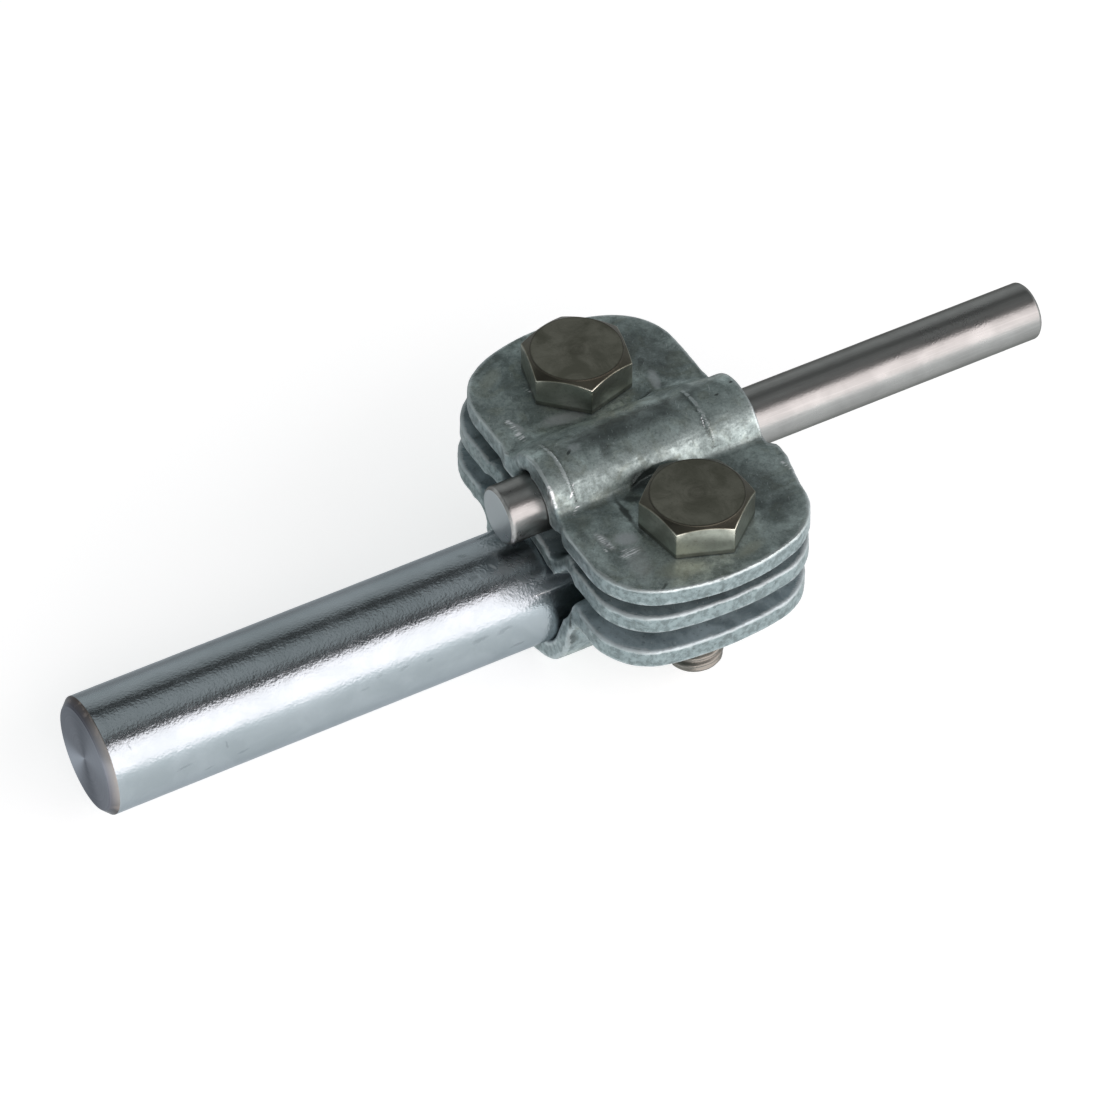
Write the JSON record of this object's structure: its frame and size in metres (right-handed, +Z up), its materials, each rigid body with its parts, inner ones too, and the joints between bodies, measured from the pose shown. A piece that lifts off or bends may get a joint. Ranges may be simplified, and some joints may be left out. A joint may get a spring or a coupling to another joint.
{
  "type": "disconnecting clamp",
  "caption": "Disconnecting clamp: three pressed plates drawn together by hexagon bolts join an earth rod to a round conductor.",
  "frame": {"origin": "on the earth rod's axis, in the plane of the two bolts' axes", "axes": "+X along the rod and the conductor, from the rod's free end towards the clamp and out along the conductor's long end; +Y from the right bolt to the left bolt; +Z up, from the bottom plate to the bolt heads"},
  "size_m": [0.1395, 0.0522, 0.0323],
  "materials": {
    "galvanised_plate": "hot-dip galvanised, matt grey with darker mottling and brighter cut edges",
    "stainless_bolt": "stainless steel, satin",
    "galvanised_rod": "hot-dip galvanised, bright and slightly rough, with a bare turned end",
    "round_conductor": "drawn, satin"
  },
  "bodies": {
    "base": {"bottom_plate": "galvanised_plate", "middle_plate": "galvanised_plate", "earth_rod": "galvanised_rod", "round_conductor": "round_conductor"},
    "upper": {"top_plate": "galvanised_plate"},
    "left_bolt": {"hexagon_bolt_left": "stainless_bolt"},
    "right_bolt": {"hexagon_bolt_right": "stainless_bolt"}
  },
  "joints": [
    {"name": "top_plate_lift", "type": "slide", "parent": "base", "child": "upper", "axis": [0, 0, 1], "range_m": [0, 0.0075]},
    {"name": "left_bolt_turn", "type": "hinge", "parent": "upper", "child": "left_bolt", "pos_m": [0, 0.0154, 0.01665], "axis": [0, 0, 1], "range_deg": [0, 2160]},
    {"name": "right_bolt_turn", "type": "hinge", "parent": "upper", "child": "right_bolt", "pos_m": [0, -0.0154, 0.01665], "axis": [0, 0, 1], "range_deg": [0, 2160]}
  ],
  "couplings": [
    {"joint": "left_bolt_turn", "follows": "top_plate_lift", "rad_per_m": 5026.5},
    {"joint": "right_bolt_turn", "follows": "top_plate_lift", "rad_per_m": 5026.5}
  ]
}
